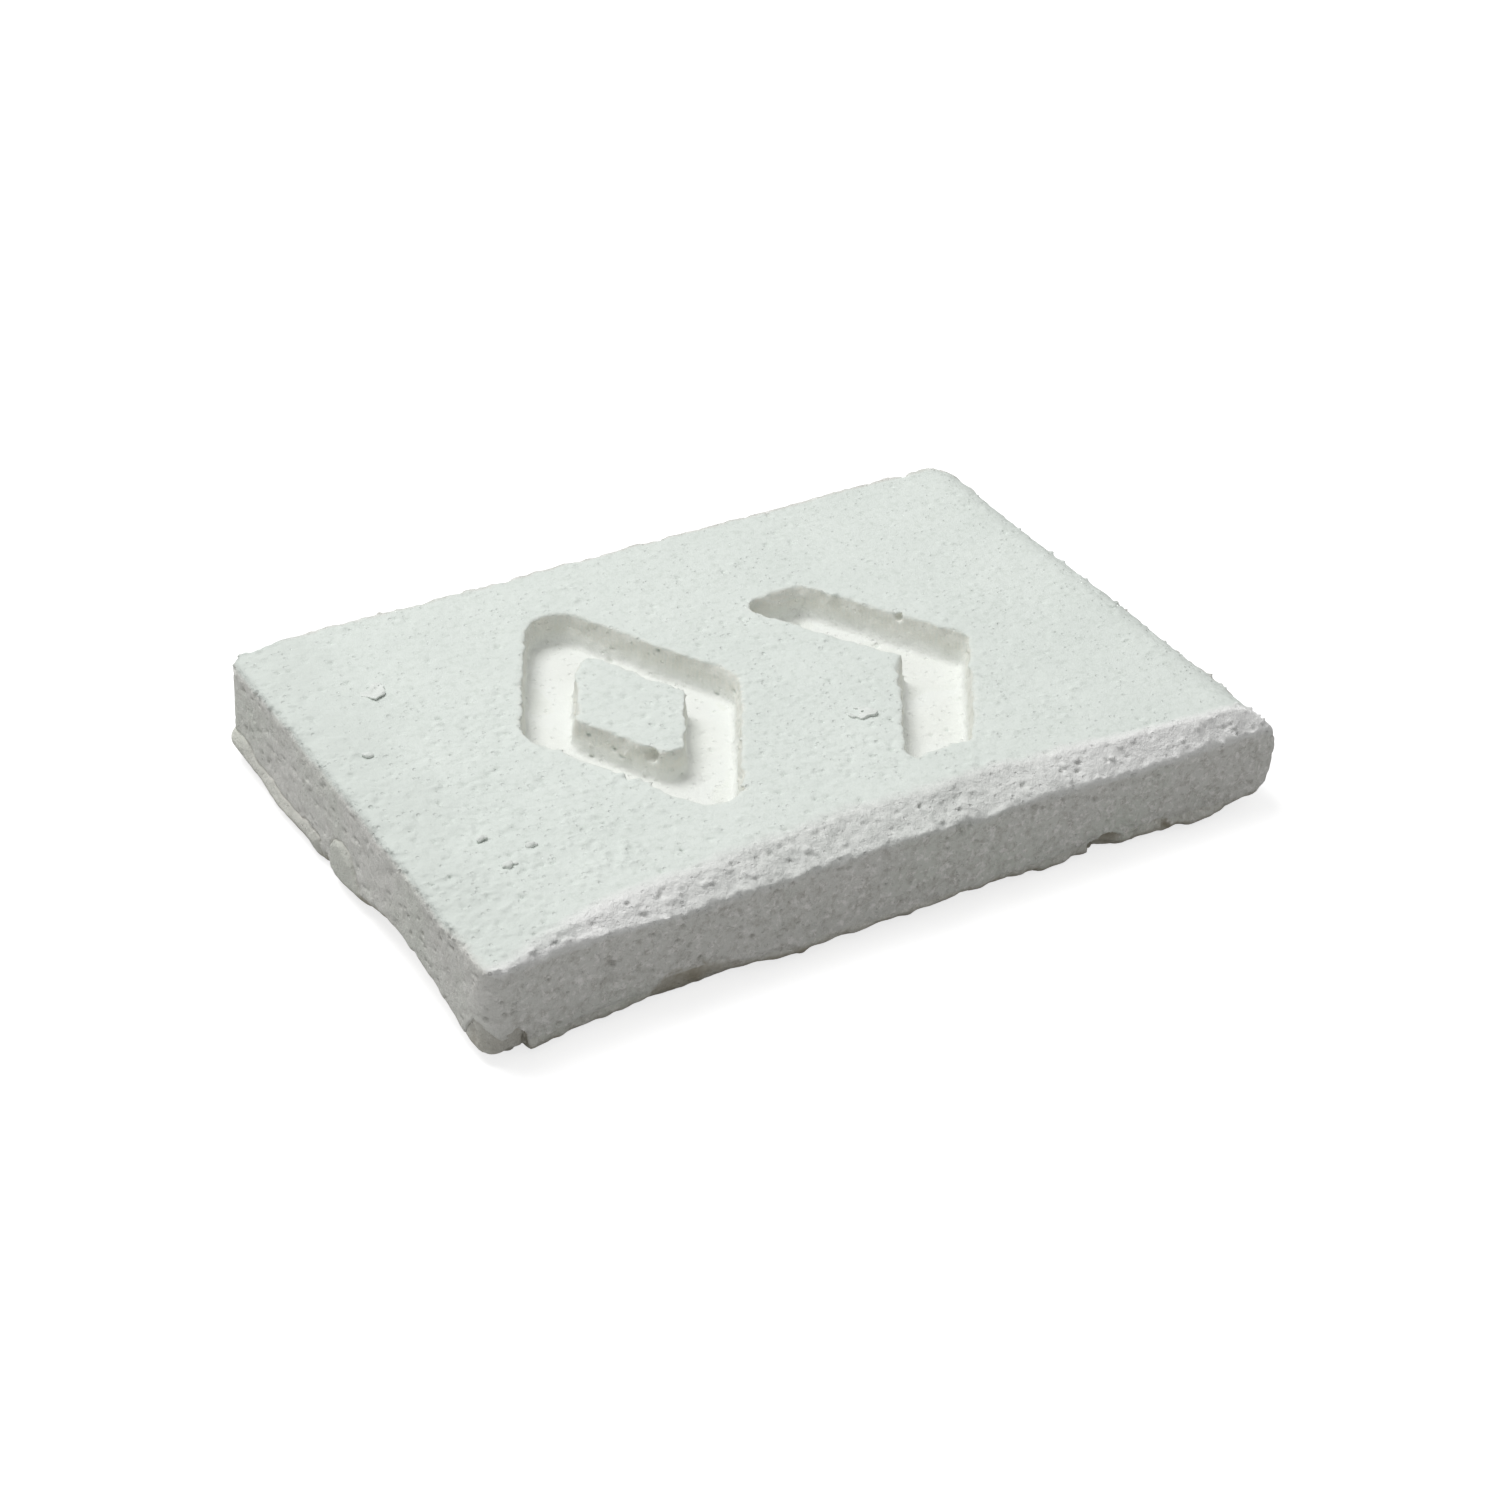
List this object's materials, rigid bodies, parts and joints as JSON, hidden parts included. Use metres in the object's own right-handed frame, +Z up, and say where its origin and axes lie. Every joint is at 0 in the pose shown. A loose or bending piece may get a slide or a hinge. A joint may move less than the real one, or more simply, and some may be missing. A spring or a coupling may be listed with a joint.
{
  "type": "gymnastics chalk block",
  "caption": "Flat rectangular block of cast white chalk with two recessed shapes in its face, worn bevelled edges and a ragged, cracked rim on its pour side.",
  "frame": {"origin": "centre of the underside, on the plane that the block rests on", "axes": "+X along the length, +Y along the width, +Z up out of the moulded face"},
  "size_m": [0.1061, 0.0661, 0.0148],
  "materials": {
    "moulded_chalk": "matt, fine-grained and powdery",
    "pour_side_chalk": "matt, rough and slightly warm",
    "loose_chalk": "matt and powdery"
  },
  "bodies": {
    "root": {"slab": "moulded_chalk", "pour_skin": "pour_side_chalk", "flash_back_left": "pour_side_chalk", "flash_left": "pour_side_chalk", "flash_front": "pour_side_chalk", "corner_fragment": "moulded_chalk", "face_flakes": "loose_chalk", "face_crumbs": "loose_chalk"}
  },
  "joints": []
}
